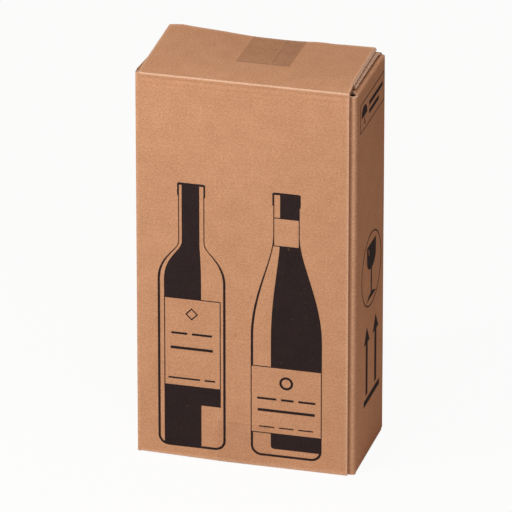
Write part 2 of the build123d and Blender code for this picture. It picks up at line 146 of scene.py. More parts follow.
# %% [markdown]
# The outer liner of the front needs a line of its own. Where its two flaps fold over, the
# board is crushed, and the liner is pulled tight into a much sharper edge than the middle of
# the board has. So the outer surface is worked out by pushing the corners of the middle line
# outwards, and these two folds then get a small radius.

# %% Push a line outwards


def pushed_out(points, distance, radii):
    """The same line at a distance on its outer side, with new radii for some of its folds."""
    flat = [np.array(p[:2], float) for p in points]
    ways = [(b - a) / np.linalg.norm(b - a) for a, b in zip(flat, flat[1:])]
    lefts = [np.array((-way[1], way[0])) for way in ways]
    lefts = [lefts[0], *lefts, lefts[-1]]
    made = []
    for k, (point, before, after) in enumerate(zip(points, lefts, lefts[1:])):
        place = flat[k] + distance * (before + after) / (1 + before @ after)
        radius = point[2] if len(point) > 2 else 0.0
        if radius:
            radius -= distance * np.sign(before[0] * after[1] - before[1] * after[0])
        made.append((*place, radii.get(k - len(points), radius)))
    return made


# %% [markdown]
# ## From walked lines to a layer of board
#
# Each panel of the carton becomes two grids of points, one on the outer and one on the inner
# side of a layer. Where two panels meet at a fold, their grids have the same points there, and
# these are merged, so that the paper runs on over the fold without a crack. All the edges that
# are left open are real cut edges of the sheet. They are closed with a rim, which has its own
# material: a rougher paper, painted darker than the face, which is painted shade in the cuts.
#
# Each corner of a face also remembers where it lies on the flat sheet, for the grain, and each
# point how near it is to a fold or a cut, for the wear and for the painted highlight on sharp folds.

# %% Join panels into one closed shell
SHEET_UV = "sheet"
WEAR_AND_HIGHLIGHT = "wear"
# Points in the same 500th of a millimetre are merged. The shift keeps round sizes off its edge.
STEPS_PER_MM, SHIFT = 500, 0.137


def join_panels(panels):
    """One closed shell from grids of points: places, faces, sheet places, rim marks, wear and painted
    highlight.
    """
    def joined(key):
        return np.concatenate([panel[key].reshape(-1, *panel[key].shape[2:]) for panel in panels])

    outer, inner, wear = joined("outer"), joined("inner"), joined("wear")
    sheet = np.stack((joined("u"), joined("v")), axis=-1)
    quads, start = [], 0
    for panel in panels:
        rows, columns = panel["u"].shape
        index = np.arange(rows * columns).reshape(rows, columns) + start
        quad = np.stack((index[:-1, :-1], index[1:, :-1], index[1:, 1:], index[:-1, 1:]), axis=-1)
        quads.append(quad.reshape(-1, 4))
        start += rows * columns
    quads = np.concatenate(quads)
    keys = np.round(outer * STEPS_PER_MM + SHIFT).astype(np.int64)
    _, first, same = np.unique(keys, axis=0, return_index=True, return_inverse=True)
    same = same.ravel()
    faces, count = same[quads], len(first)
    starts, ends = faces.ravel(), np.roll(faces, -1, axis=1).ravel()
    is_open = ~np.isin(starts * count + ends, ends * count + starts)
    a, b = starts[is_open], ends[is_open]
    rim = np.stack((b, a, a + count, b + count), axis=-1)
    sheet_a = sheet[quads].reshape(-1, 2)[is_open]
    sheet_b = sheet[np.roll(quads, -1, axis=1)].reshape(-1, 2)[is_open]
    deep = np.linalg.norm(outer[first][a] - inner[first][a], axis=1)[:, None]
    rim_sheet = np.stack((sheet_b, sheet_a, sheet_a + deep, sheet_b + deep), axis=1)
    points = np.concatenate((outer[first], inner[first]))
    corners = np.concatenate((sheet[quads], sheet[quads[:, ::-1]], rim_sheet)).reshape(-1, 2)
    is_rim = np.r_[np.zeros(2 * len(faces), bool), np.ones(len(rim), bool)]
    faces = np.concatenate((faces, faces[:, ::-1] + count, rim))
    return points, faces, corners, is_rim, np.tile(wear[first], 2)


def build_piece(name, shells, materials, node, smooth_angle=35):
    """One object from shells, each a list of panels in millimetres. It rides on the carton."""
    shells = [join_panels(panels) for panels in shells]
    counts = np.cumsum([0] + [len(shell[0]) for shell in shells])
    faces = np.concatenate([shell[1] + start for shell, start in zip(shells, counts)])
    points, corners, rims, wear = (np.concatenate([shell[k] for shell in shells]) for k in (0, 2, 3, 4))
    mesh = bpy.data.meshes.new(name)
    mesh.from_pydata((points * MM).tolist(), [], faces.tolist())
    mesh.uv_layers.new(name=SHEET_UV).data.foreach_set("uv", (corners * MM).ravel())
    mesh.attributes.new(WEAR_AND_HIGHLIGHT, "FLOAT", "POINT").data.foreach_set("value", wear.astype(np.float32))
    for material in materials:
        mesh.materials.append(material)
    if len(materials) > 1:
        mesh.polygons.foreach_set("material_index", rims.astype(np.int32))
    mesh.polygons.foreach_set("use_smooth", np.ones(len(faces), bool))
    mesh.update()
    mesh.set_sharp_from_angle(angle=math.radians(smooth_angle))
    piece = bpy.data.objects.new(name, mesh)
    bpy.context.scene.collection.objects.link(piece)
    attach(piece, "root")
    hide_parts(node)
    print(f"{name}: {len(faces)} faces")


# %% [markdown]
# ## Node helpers
#
# Materials here are wired in Python. One helper adds a node, sets its values and joins its
# inputs in one call, which keeps each material short.

# %% Add nodes and materials


def add(tree, kind, inputs=None, **settings):
    """Adds a node, sets it up, and links or sets its inputs."""
    made = tree.nodes.new(kind)
    for key, value in settings.items():
        setattr(made, key, value)
    for key, value in (inputs or {}).items():
        if isinstance(value, bpy.types.NodeSocket):
            tree.links.new(value, made.inputs[key])
        else:
            made.inputs[key].default_value = value
    return made


def maths(tree, operation, first, second=0.5, clamp=False):
    """A maths node's result."""
    made = add(tree, "ShaderNodeMath", {0: first, 1: second}, operation=operation)
    made.use_clamp = clamp
    return made.outputs[0]


def blend_colours(tree, share, first, second):
    """A colour mix's result."""
    made = add(tree, "ShaderNodeMix", data_type="RGBA")
    for socket, value in ((made.inputs[0], share), (made.inputs[6], first), (made.inputs[7], second)):
        if isinstance(value, bpy.types.NodeSocket):
            tree.links.new(value, socket)
        else:
            socket.default_value = value
    return made.outputs[2]


def spread(tree, value, low, high, to_low=0.0, to_high=1.0):
    """Stretches a value from one range to another, held at both ends."""
    made = add(tree, "ShaderNodeMapRange", {0: value, 1: low, 2: high, 3: to_low, 4: to_high})
    return made.outputs[0]


def weigh(tree, share, first, second):
    """The mean of two values, in which the first has the given share."""
    return maths(tree, "ADD", maths(tree, "MULTIPLY", first, share),
                 maths(tree, "MULTIPLY", second, 1 - share))


def noise_at(tree, place, scale, detail, roughness, distortion=0.0):
    """A noise texture's value at a place."""
    return add(tree, "ShaderNodeTexNoise", {
        "Vector": place, "Scale": scale, "Detail": detail, "Roughness": roughness,
        "Distortion": distortion}).outputs[0]


def new_material(name):
    """An empty material with its Principled shader."""
    material = bpy.data.materials.new(name)
    material.use_nodes = True
    return material, material.node_tree, material.node_tree.nodes["Principled BSDF"]


def new_group(name, inputs, outputs):
    """An empty shader node group with named sockets, its input node and its output node."""
    group = bpy.data.node_groups.new(name, "ShaderNodeTree")
    for label, kind, value in inputs:
        socket = group.interface.new_socket(label, in_out="INPUT", socket_type=kind)
        if value is not None:
            socket.default_value = value
    for label, kind in outputs:
        group.interface.new_socket(label, in_out="OUTPUT", socket_type=kind)
    return group, group.nodes.new("NodeGroupInput"), group.nodes.new("NodeGroupOutput")


def finish_shader(tree, shader, colour, roughness, height, relief, strength, gloss):
    """Gives a shader its colour and roughness, its bump in millimetres and its gloss."""
    tree.links.new(colour, shader.inputs["Base Color"])
    tree.links.new(roughness, shader.inputs["Roughness"])
    bump = add(tree, "ShaderNodeBump", {"Height": height, "Distance": relief * MM, "Strength": strength})
    tree.links.new(bump.outputs[0], shader.inputs["Normal"])
    shader.inputs["Specular IOR Level"].default_value = gloss


# %% [markdown]
# ## Kraft paper
#
# Kraft paper is never one brown. It has short fibres that catch the light, soft clouds a few
# millimetres to centimetres across, and a few dark specks. All three come from noise at
# different scales, so they share one group, which each paper material uses in its own way.

# %% Shared effect: paper
FLOAT, VECTOR = "NodeSocketFloat", "NodeSocketVector"


def paper_group():
    """Fibres, clouds and specks of brown paper, from a place in metres."""
    group, given, result = new_group(
        "paper",
        [("Place", VECTOR, None), ("Stretch", FLOAT, 1.0)],
        [("Fibres", FLOAT), ("Clouds", FLOAT), ("Specks", FLOAT), ("Height", FLOAT)])
    place = given.outputs["Place"]
    stretch = add(group, "ShaderNodeCombineXYZ", {0: 1.0, 1: given.outputs["Stretch"], 2: 1.0})
    grain = add(group, "ShaderNodeVectorMath", {0: place, 1: stretch.outputs[0]},
                operation="MULTIPLY").outputs[0]
    fine = noise_at(group, grain, 520.0, 4.0, 0.6)
    tiny = noise_at(group, grain, 1500.0, 3.0, 0.6)
    dots = noise_at(group, grain, 260.0, 2.0, 0.4, 0.8)
    broad = noise_at(group, place, 55.0, 4.0, 0.6)
    wide = noise_at(group, place, 9.0, 2.0, 0.5)
    clouds = weigh(group, 0.6, broad, wide)
    group.links.new(spread(group, fine, 0.34, 0.66), result.inputs["Fibres"])
    group.links.new(spread(group, clouds, 0.36, 0.64), result.inputs["Clouds"])
    group.links.new(spread(group, dots, 0.7, 0.78), result.inputs["Specks"])
    group.links.new(weigh(group, 0.65, fine, tiny), result.inputs["Height"])
    return group


paper_effect = paper_group()

# %% [markdown]
# ## Brown liner, cut edge and fluting
#
# The outside of the carton is the liner. Its brown is mixed from a darker and a paler tone by
# the paper group. The inside paper is a little darker, which is painted shade inside the carton.
# The thin cut edge of a liner is rougher and painted darker, which is painted shade in the cuts,
# and the fluting in between is a weaker, greyer paper. They are small recipes of one function,
# because they differ only in their colours and in how strong the mottling is. Where the paper
# is worn, paler fibres show; on sharp folds the same pale colour is partly a painted highlight.
# The flutes print through the liners as very faint bands.

# %% Paper materials
PAPER_GLOSS = 0.06
# Pale worn fibres; on sharp folds this colour is also a painted highlight.
SCUFFED_AND_HIGHLIGHT = (0.90, 0.64, 0.48, 1)


def paper_material(name, dark, pale, speck, roughness, relief, bands=0.0, on_sheet=True,
                   fibre_low=0.0):
    """Brown paper with its own tones. On a sheet, the grain follows the flat sheet."""
    material, tree, shader = new_material(name)
    if on_sheet:
        place = add(tree, "ShaderNodeUVMap", uv_map=SHEET_UV).outputs["UV"]
    else:
        place = add(tree, "ShaderNodeTexCoord").outputs["Object"]
    paper = add(tree, "ShaderNodeGroup", {"Place": place, "Stretch": 1.3}, node_tree=paper_effect).outputs
    tone = weigh(tree, 0.72, paper["Fibres"], paper["Clouds"])
    tone = spread(tree, tone, fibre_low, 1.0 - fibre_low)
    height = paper["Height"]
    if bands:
        across = add(tree, "ShaderNodeSeparateXYZ", {0: place}).outputs[1]
        wave = maths(tree, "SINE", maths(tree, "MULTIPLY", across, 2 * math.pi / (FLUTE_PITCH * MM)))
        band = maths(tree, "MULTIPLY", wave, bands)
        tone = maths(tree, "ADD", tone, band)
        height = maths(tree, "ADD", height, maths(tree, "MULTIPLY", band, 2.0))
    colour = blend_colours(tree, tone, dark, pale)
    colour = blend_colours(tree, maths(tree, "MULTIPLY", paper["Specks"], 0.45), colour, speck)
    if on_sheet:
        # Wear near cuts, and on sharp folds wear together with a painted highlight, blends in the scuffed
        # colour.
        worn_and_highlit = add(tree, "ShaderNodeAttribute", attribute_name=WEAR_AND_HIGHLIGHT).outputs["Fac"]
        patchy = maths(tree, "MULTIPLY", worn_and_highlit, spread(tree, paper["Fibres"], 0, 1, 0.45, 0.85))
        colour = blend_colours(tree, patchy, colour, SCUFFED_AND_HIGHLIGHT)
    rough = spread(tree, paper["Fibres"], 0.0, 1.0, roughness - 0.06, roughness + 0.06)
    finish_shader(tree, shader, colour, rough, height, relief, 0.6, PAPER_GLOSS)
    return material


LINER_DARK, LINER_PALE = (0.470, 0.232, 0.124, 1), (0.690, 0.385, 0.230, 1)
liner_paper = paper_material("kraft_liner", LINER_DARK, LINER_PALE, (0.30, 0.14, 0.07, 1),
                             0.85, 0.10, bands=0.02)
# The inside paper is darker than the outer liner, which paints deeper shade inside the carton.
inner_paper_painted_shade = paper_material("kraft_inside", (0.44, 0.22, 0.12, 1), (0.58, 0.32, 0.19, 1),
                             (0.28, 0.13, 0.07, 1), 0.85, 0.10, bands=0.02)
# Cut-edge paper: rougher, and darker than the face, which is painted shade in the cut edges.
cut_paper_painted_shade = paper_material("kraft_cut_edge", (0.40, 0.20, 0.11, 1), (0.60, 0.36, 0.23, 1),
                           (0.30, 0.15, 0.08, 1), 0.92, 0.25)
fluting_paper = paper_material("kraft_fluting", (0.42, 0.24, 0.15, 1), (0.66, 0.43, 0.30, 1),
                               (0.30, 0.16, 0.10, 1), 0.9, 0.15)
fitment_paper = paper_material("fitment_board", (0.46, 0.25, 0.14, 1), (0.62, 0.37, 0.23, 1),
                               (0.30, 0.15, 0.08, 1), 0.85, 0.15, on_sheet=False)
print("materials:", *sorted(material.name for material in bpy.data.materials))

# %% [markdown]
# ## How the outer flap springs up
#
# The tape holds the top flap down only in the middle. Beside the tape the board springs up,
# most of all at the left corner. The lift is read along the free edge at a few places and
# joined by a smooth curve. It fades away towards the hinge, where the fold holds the flap. The
# whole flap also bows up a little behind its fold, so that the light grows towards the front.

# %% Lift of the outer top flap
LIFT_X = np.array((3.5, 10, 16, 22, 33, 50, 67, 84, 100, 118, 132, 140, 148, 158, 170, 196))
LIFT_Z = np.array((3.9, 4.7, 5.05, 4.5, 3.7, 2.7, 1.4, 0.3, 0.0, 0.0, 0.4, 1.0, 1.2, 0.9, 1.2, 1.6))
FLAP_ROOT, FLAP_END = FRONT_FACE + 6.0, BACK_FACE - 1.0
BOW = 5.4


def ramp(beyond, over):
    """0 up to a place and 1 from some way beyond it, with an even slope between."""
    return np.clip(beyond / over, 0, 1)


def smooth_between(x, xs, zs):
    """A smooth curve through a few known heights."""
    x = np.clip(x, xs[0], xs[-1])
    k = np.clip(np.searchsorted(xs, x, side="right") - 1, 0, len(xs) - 2)
    slopes = np.gradient(zs, xs)
    step = xs[k + 1] - xs[k]
    t = (x - xs[k]) / step
    return ((1 + 2 * t) * (1 - t) ** 2 * zs[k] + t * (1 - t) ** 2 * step * slopes[k]
            + t * t * (3 - 2 * t) * zs[k + 1] + t * t * (t - 1) * step * slopes[k + 1])


def flap_lift(x, y):
    """How far the outer top flap stands above its closed level at a place in plan."""
    share = ramp(y - FLAP_ROOT, FLAP_END - FLAP_ROOT)
    bow = BOW * share * (1 - share) ** 2 * ramp(x + WIDTH / 2, 50)
    return bow + share * np.minimum(smooth_between(x + WIDTH / 2, LIFT_X, LIFT_Z), LIFT_ROOM)


print(f"the left corner of the flap stands {flap_lift(3.5 - WIDTH / 2, FLAP_END):.1f} mm up")

# %% [markdown]
# ## The four walls with their flaps
#
# Each wall and its two flaps are one strip. Its line shows the strip end on, and `extent` says
# how far the strip reaches to both sides at each step of the line: full width on the wall,
# narrower on the flaps, which taper away from their hinge.
#
# The walls and the corners between them all use the same list of heights. That is what lets
# their grids share points. The heights are closer together below the top fold, where the
# board has small ridges.

# %% Heights that all walls and corners share
OUTER_LEVEL = HEIGHT - HALF
INNER_LEVEL = OUTER_LEVEL - LAYER
DUST_LEVEL = INNER_LEVEL - LAYER
WALL_TOP = HEIGHT - 3 * LAYER
WALL_BOTTOM = TAPE + 3 * LAYER
POST_TOP, POST_FOOT = HEIGHT - 4.0, TAPE + 2.0
BACK_POST_TOP, BACK_POST_FOOT = HEIGHT - LAYER - 3.5, TAPE + 3.5
LEFT_POST_TOP, RIGHT_POST_TOP = POST_TOP + 3.2, BACK_POST_TOP + 1.8
RIGHT_POST_FOOT = TAPE + 0.7
FRONT_FOOT = 5.3
RIDGED = 36.0
HEIGHTS = sorted({
    RIGHT_POST_FOOT, POST_FOOT, BACK_POST_FOOT, FRONT_FOOT, 7.5, WALL_BOTTOM,
    *np.arange(14.0, HEIGHT - RIDGED, 4.0), *np.arange(HEIGHT - RIDGED, WALL_TOP - 0.5, 1.0),
    WALL_TOP, WALL_TOP + 1, WALL_TOP + 2, BACK_POST_TOP, RIGHT_POST_TOP, POST_TOP,
    *np.arange(POST_TOP + 0.4, POST_TOP + 3.3, 0.4)})


def heights_between(low, high):
    """The shared heights from one height to another."""
    return [z for z in HEIGHTS if low - 0.01 < z < high + 0.01]


def wall(across, low, high):
    """Points up a wall at the shared heights."""
    return [(across, z) for z in heights_between(low, high)]


# %% Front and back strips
BOTTOM_LEVEL = TAPE + HALF
BOTTOM_INSET = 5.5
TAPER_START = 1.6
FLAP_EDGE_Y = (FRONT_FACE + 3.5, FRONT_FACE + 21, FLAP_END)
FLAP_EDGE_X = (SEAM_X, SEAM_X - 1.1, WIDTH / 2 - 8.6)


def tapering(inwards, over):
    """How far a flap's taper has gone, from 0 at the hinge to 1."""
    return ramp(inwards - TAPER_START, over - TAPER_START)


def front_extent(u, v):
    """Left and right ends of the front strip: u is y, and v is z."""
    top, inwards = v > HEIGHT / 2, u - FRONT_FACE
    taper, quick_taper = tapering(inwards, 10.0), tapering(inwards, 4.0)
    low = np.where(top, -FLAT_X - 0.7 * taper, -FLAT_X + taper * BOTTOM_INSET)
    high = np.where(top, np.interp(u, FLAP_EDGE_Y, FLAP_EDGE_X), SEAM_X - quick_taper * 2.5)
    return low, high


def back_extent(u, v):
    """Left and right ends of the back strip."""
    taper, top = tapering(BACK_FACE - u, 5.0), v > HEIGHT / 2
    low = -FLAT_X + taper * np.where(top, 2.0, BOTTOM_INSET)
    return low, FLAT_X - taper * np.where(top, 2.4, BOTTOM_INSET)


FRONT = dict(
    points=[(BACK_FACE - 6, BOTTOM_LEVEL + LAYER), (FRONT_Y + 6, BOTTOM_LEVEL + LAYER, SLOPE_FOLD),
            (FRONT_Y, BOTTOM_LEVEL, MIDDLE_FOLD), *wall(FRONT_Y, FRONT_FOOT, POST_TOP),
            (FRONT_Y, OUTER_LEVEL, MIDDLE_FOLD), (FLAP_END, OUTER_LEVEL)],
    axes=(1, 2, 0), extent=front_extent, columns=66, sheet_shift=0.0)
BACK = dict(
    points=[(FRONT_FACE + 23.4, INNER_LEVEL), (BACK_Y, INNER_LEVEL, MIDDLE_FOLD),
            *reversed(wall(BACK_Y, BACK_POST_FOOT, BACK_POST_TOP)),
            (BACK_Y, BOTTOM_LEVEL, MIDDLE_FOLD), (FRONT_FACE + 9, BOTTOM_LEVEL)],
    axes=(1, 2, 0), extent=back_extent, columns=40, sheet_shift=1000.0)

# %% [markdown]
# The sides end in the narrow dust flaps, which fold in first and lie lowest. Beside each of
# them the sheet has a slot, so their extent jumps where the wall ends. Next to the fold their
# front edge is cut on a slant.

# %% Side strips
DUST_END = WIDTH / 2 - 80.0
STUB = 2.8


def side_extent(wall_start, top_start, top_end):
    """Front and back ends of a side strip, whose dust flaps have slots beside them."""
    def extent(u, v):
        on_wall = (v > WALL_BOTTOM - 0.01) & (v < WALL_TOP + 0.01)
        slant = ramp(np.abs(u) - 97.0, 4.4)
        start = np.where(v > HEIGHT / 2, top_start, FRONT_FACE + 10)
        flap_start = start + slant * (FRONT_FACE + 6.8 - start)
        flap_end = np.where(v > HEIGHT / 2, top_end, BACK_FACE - 6)
        return np.where(on_wall, wall_start, flap_start), np.where(on_wall, FLAT_Y - STUB, flap_end)
    return extent


def side_points(side):
    """The line of a side strip from its bottom dust flap to its top one."""
    x, low = side * SIDE_X, BOTTOM_LEVEL + 2 * LAYER
    return [(side * DUST_END, low), (x - side * 6, low, SLOPE_FOLD), (x, low - 6.2, 0.3),
            (x, WALL_BOTTOM - 0.3), *wall(x, WALL_BOTTOM, WALL_TOP), (x, WALL_TOP + 0.3),
            (x, DUST_LEVEL + 2, SHARP_FOLD), (x - side * 5, DUST_LEVEL, SLOPE_FOLD),
            (side * DUST_END, DUST_LEVEL)]


LEFT = dict(
    points=side_points(-1), axes=(0, 2, 1), columns=24, sheet_shift=2000.0,
    extent=side_extent(-FLAT_Y + STUB, FRONT_FACE + 6.4, BACK_FACE - 6))
RIGHT = dict(
    points=side_points(1)[::-1], axes=(0, 2, 1), columns=24, sheet_shift=3000.0,
    extent=side_extent(-FLAT_Y + BOARD, FRONT_FACE + 15, FLAT_Y - 0.2))

# %% [markdown]
# The corners are the same idea seen from above. They stand a little higher than the walls,
# because the slots between the flaps end there. The front right one carries the glue flap,
# which the front is glued onto, so its fold lies one board further back.

# %% Corners and glue flap
GLUE_Y = FRONT_Y + BOARD
GLUE_START = SEAM_X - 1.0


def upright(foot, top):
    """Foot and top of a strip that stands upright along a line seen from above."""
    def extent(u, v):
        return np.full(len(u), foot), np.full(len(u), top)
    return dict(axes=(0, 1, 2), extent=extent, heights=heights_between(foot, top))


FRONT_LEFT = dict(upright(POST_FOOT, LEFT_POST_TOP), sheet_shift=4000.0, points=[
    (-FLAT_X, FRONT_Y), (-SIDE_X, FRONT_Y, SHARP_FOLD), (-SIDE_X, -FLAT_Y + STUB)])
BACK_LEFT = dict(upright(BACK_POST_FOOT, BACK_POST_TOP), sheet_shift=4200.0, points=[
    (-SIDE_X, FLAT_Y - STUB), (-SIDE_X, BACK_Y, MIDDLE_FOLD), (-FLAT_X, BACK_Y)])
BACK_RIGHT = dict(upright(BACK_POST_FOOT, RIGHT_POST_TOP), sheet_shift=4400.0, points=[
    (FLAT_X, BACK_Y), (SIDE_X, BACK_Y, MIDDLE_FOLD), (SIDE_X, FLAT_Y - STUB)])
FRONT_RIGHT = dict(upright(RIGHT_POST_FOOT, RIGHT_POST_TOP), sheet_shift=4600.0, points=[
    (SIDE_X, -FLAT_Y + BOARD), (SIDE_X, GLUE_Y, MIDDLE_FOLD), (GLUE_START, GLUE_Y)])
GLUE_FLAP = dict(upright(WALL_BOTTOM, WALL_TOP), sheet_shift=4800.0, points=[
    (GLUE_START, GLUE_Y), (SIDE_X - 35, GLUE_Y)])
UPRIGHTS = [FRONT_LEFT, BACK_LEFT, BACK_RIGHT, FRONT_RIGHT, GLUE_FLAP]
STRIPS = [FRONT, BACK, LEFT, RIGHT, *UPRIGHTS]
STEP = 4.5
for spec in STRIPS:
    spec.update(walk=walk(spec["points"], STEP), half=HALF, lift=None, relief=None, scuff=0.9,
                joined_right=spec is not FRONT)
# Sides and corners get little pale wear and painted highlight on their sharp folds.
for spec in (LEFT, RIGHT, *UPRIGHTS):
    spec["scuff"] = 0.2 if spec is FRONT_RIGHT else 0.1
print(f"{len(STRIPS)} strips")

# %% [markdown]
# The front's outer surface is its own line pushed out by half a board, with the two sharp folds.
# Below and behind the top fold it gets more points, because that is where the crushed board has
# its ridges.

# %% Outer surface of the front
TIGHT_FOLD, BOTTOM_FOLD = 1.3, 1.6
front_line = pushed_out(FRONT["points"], HALF, {-2: TIGHT_FOLD, 2 - len(FRONT["points"]): BOTTOM_FOLD})
below_fold = [(FRONT_FACE, z) for z in HEIGHTS if POST_TOP < z < POST_TOP + 2.5]
behind_fold = [(y, HEIGHT) for y in np.arange(FRONT_FACE + 2, FRONT_FACE + 14)]
front_line = [*front_line[:-2], *below_fold, front_line[-2], *behind_fold, front_line[-1]]
FRONT_SKIN = dict(FRONT, half=0.0, walk=walk(front_line, STEP))

# %% [markdown]
# ## Unevenness
#
# Board is never quite flat. Broad hollows a fraction of a millimetre deep come from noise. And
# where the top flap was folded over, the board was crushed: the fold itself stands out as a
# thin bead with a shallow groove behind it, and below it the crushed flutes leave a few ridges
# that fade out. All of this goes inwards, so the carton keeps its size.

# %% Dents and ridges


def dents(surface):
    """Broad shallow hollows, as distances inwards. They depend on the place alone."""
    flat = surface.reshape(-1, 3)
    broad = np.array([0.5 + 0.5 * noise.noise(Vector(p) / 55.0) for p in flat])
    small = np.array([0.5 + 0.5 * noise.noise(Vector(p) / 14.0 + Vector((3, 5, 7))) for p in flat])
    return (0.08 * broad + 0.03 * small).reshape(surface.shape[:-1])


def fold_relief(surface):
    """Crushed ridges below the front's top fold and a groove behind it, as distances inwards."""
    x, y, z = surface[..., 0], surface[..., 1], surface[..., 2]
    fade = ramp(x + FLAT_X, 4.0)
    sway = 0.7 * np.array([noise.noise(Vector((a / 45.0, 1.0, 4.0))) for a in x[0]])[None, :]
    strength = np.array([noise.noise(Vector((a / 30.0, 6.0, 2.0))) for a in x[0]])[None, :]
    below, behind = HEIGHT - z + sway, y - FRONT_FACE + sway
    on_front, on_flap = y < FRONT_FACE + 0.5, z > HEIGHT - 0.5
    waves = 0.5 - 0.5 * np.cos(2 * math.pi * (below - 2.1) / 5.8)
    ridges = 0.55 * (1 + 0.5 * strength) * np.exp(-((below - 4) / 9) ** 2) * waves
    ridges *= on_front * (below > 2.1)
    back_groove = (1 + strength) * 0.10 * np.exp(-((behind - 3.6) / 1.5) ** 2) * on_flap
    return fade * (ridges + back_groove)


# %% [markdown]
# ## Flaps that don't lie flat
#
# At the front left corner the dust flap's fold bulges up beside the outer flap, and from the
# front it shows as a thin dark sliver. The right dust flap's free front end springs up a
# little, and the inner flap follows the outer one up at the right. The outer flap's own fold
# was pressed down by half a millimetre or so, and the flap bows up behind it. Low on the left,
# the front's bottom fold is crushed upwards.

# %% Lift of each strip


def corner_bulge(x, y, z):
    """How far the left dust flap's fold stands up near the front."""
    return 9.2 * ramp(30.0 - y, 78.0) * ramp(-99.9 - x, 2.2) * ramp(z - WALL_TOP, 1.5)


def dust_spring(x, y, z):
    """How far the right dust flap's free front end springs up, where nothing holds it."""
    return 2.0 * ramp(-31.0 - y, 5.0) * ramp(100.5 - x, 4.0) * (z > WALL_TOP)


def inner_lift(x, y, z):
    """The inner flap's lift. At the right it follows the outer flap up."""
    return 0.85 * flap_lift(x, y) * ramp(x - 40, 40) * ramp(z - BACK_POST_TOP, 0.8)


def front_lift(x, y, z):
    """The outer flap's lift, with its fold pressed down and the bottom fold crushed up."""
    behind = ramp(y - FRONT_FACE - 2, 20)
    pressed = 0.6 * (1 - behind) ** 2 * ramp(z - WALL_TOP, 6) * ramp(x + FLAT_X, 4)
    near_fold = ramp(FRONT_FOOT - z, 3.5) * ramp(FRONT_FACE + 5 - y, 3)
    crushed_up = 1.8 * ramp(-20 - x, 80) * near_fold
    return (z > WALL_TOP) * flap_lift(x, y) - pressed + crushed_up


LEFT["lift"] = corner_bulge
RIGHT["lift"] = dust_spring
BACK["lift"] = inner_lift
FRONT.update(lift=front_lift, relief=fold_relief)
FRONT_SKIN.update(lift=front_lift, relief=fold_relief)

# %% [markdown]
# ## Wear and painted fold highlight
#
# Kraft paper turns pale where it was cut and where it is bent sharply. On sharp folds the same
# pale colour also paints a highlight. So each point gets a number from 0 to 1, from how much the
# sheet bends there and how near a cut edge is. Where two walls run on into each other there is
# no cut, and nothing is worn.

# %% Wear and painted highlight at folds and cuts
FAR = 99.0
SHARP_BEND, CUT_WEAR, CUT_REACH = 0.33, 0.5, 0.6


def wear_and_highlight_on(spec, normals, distances, across):
    """How worn a strip is, and how strong its painted fold highlight is, at each step of its line and
    each place across it.
    """
    bend = np.abs(np.gradient(np.unwrap(np.arctan2(normals[:, 1], normals[:, 0])), distances))
    ends = np.minimum(distances - distances[0], distances[-1] - distances)[:, None]
    edges = [across - across[:, :1], across[:, -1:] - across]
    if spec["axes"][2] == 2:
        ends = ends + FAR
    else:
        stands = FAR * (np.abs(normals[:, 1:]) < 0.5)
        edges = [edges[0] + stands, edges[1] + stands * spec["joined_right"]]
    # On sharp folds the pale colour is partly wear and partly a painted highlight.
    sharp_wear_and_highlight = np.clip(1.8 * (bend - SHARP_BEND), 0, spec["scuff"])[:, None]
    return np.maximum(sharp_wear_and_highlight, CUT_WEAR * np.exp(-np.minimum(np.minimum(*edges), ends) / CUT_REACH))


# %% [markdown]
# ## One layer of a strip
#
# All layers are laid out in one way. The strip's line gives the steps, and its extent the
# places across. Both sides of the layer are then pushed out from the line, each by its own
# distance less the dents, and lifted last of all.

# %% Lay out a panel of one layer


def in_space(axes, u, v, across):
    """Points in space from a strip's own two directions and the one across it."""
    made = np.zeros((*across.shape, 3))
    made[..., axes[0]], made[..., axes[1]], made[..., axes[2]] = u, v, across
    return made


def ragged_edge(distances, amount, seed):
    """How far an uneven cut edge falls short at each step."""
    return amount * np.array([abs(noise.noise(Vector((d / 2.2, seed, 7.0)))) for d in distances])


def panel(spec, low_offset, high_offset, insets=(0.0, 0.0), ragged=0.0, seed=0.0, keep=None,
          columns=None):
    """Outer and inner grid of one layer of a strip, between two distances from its line.

    insets pull the two side edges in, each by a number or by one number for each step.
    """
    places, normals, distances = spec["walk"]
    low_offset, high_offset = (np.broadcast_to(o, len(distances)) for o in (low_offset, high_offset))
    low, high = spec["extent"](places[:, 0], places[:, 1])
    low = low + insets[0] + ragged_edge(distances, ragged, seed)
    high = high - insets[1] - ragged_edge(distances, ragged, seed + 9.0)
    if keep is not None:
        places, normals, distances, low, high, low_offset, high_offset = (
            a[keep] for a in (places, normals, distances, low, high, low_offset, high_offset))
    across_axis = spec["axes"][2]
    shares = np.linspace(0, 1, (columns or spec.get("columns", 1)) + 1)
    if across_axis == 2 and not columns:
        shares = np.array(spec["heights"]) - spec["heights"][0]
        shares = shares / shares[-1]
    across = low[:, None] + (high - low)[:, None] * shares
    line = in_space(spec["axes"], places[:, :1], places[:, 1:], across)
    out = in_space(spec["axes"], normals[:, :1], normals[:, 1:], np.zeros_like(across))
    surface = line + out * spec["half"]
    inwards = dents(surface)
    if spec["relief"]:
        inwards += spec["relief"](surface)
    lift = spec["lift"](line[..., 0], line[..., 1], line[..., 2]) if spec["lift"] else 0.0
    grids = {}
    for side, offset in (("outer", high_offset), ("inner", low_offset)):
        grids[side] = line + out * (offset[:, None] - inwards)[..., None]
        grids[side][..., 2] += lift
    along = np.repeat(distances[:, None], across.shape[1], axis=1)
    u, v = (along, across) if across_axis == 2 else (across, along)
    made = dict(grids, u=u + spec["sheet_shift"], v=v, wear=wear_and_highlight_on(spec, normals, distances, across))
    if across_axis != 1:
        made = {key: grid[:, ::-1] for key, grid in made.items()}
    return made


# %% [markdown]
# ## The liners
#
# The outer liner is the brown surface that everyone sees. The inner liner is its twin on the
# inside. At the right edge of the inner top flap the outer liner was torn back by a few
# millimetres, so a wide band of pale fibres shows there.

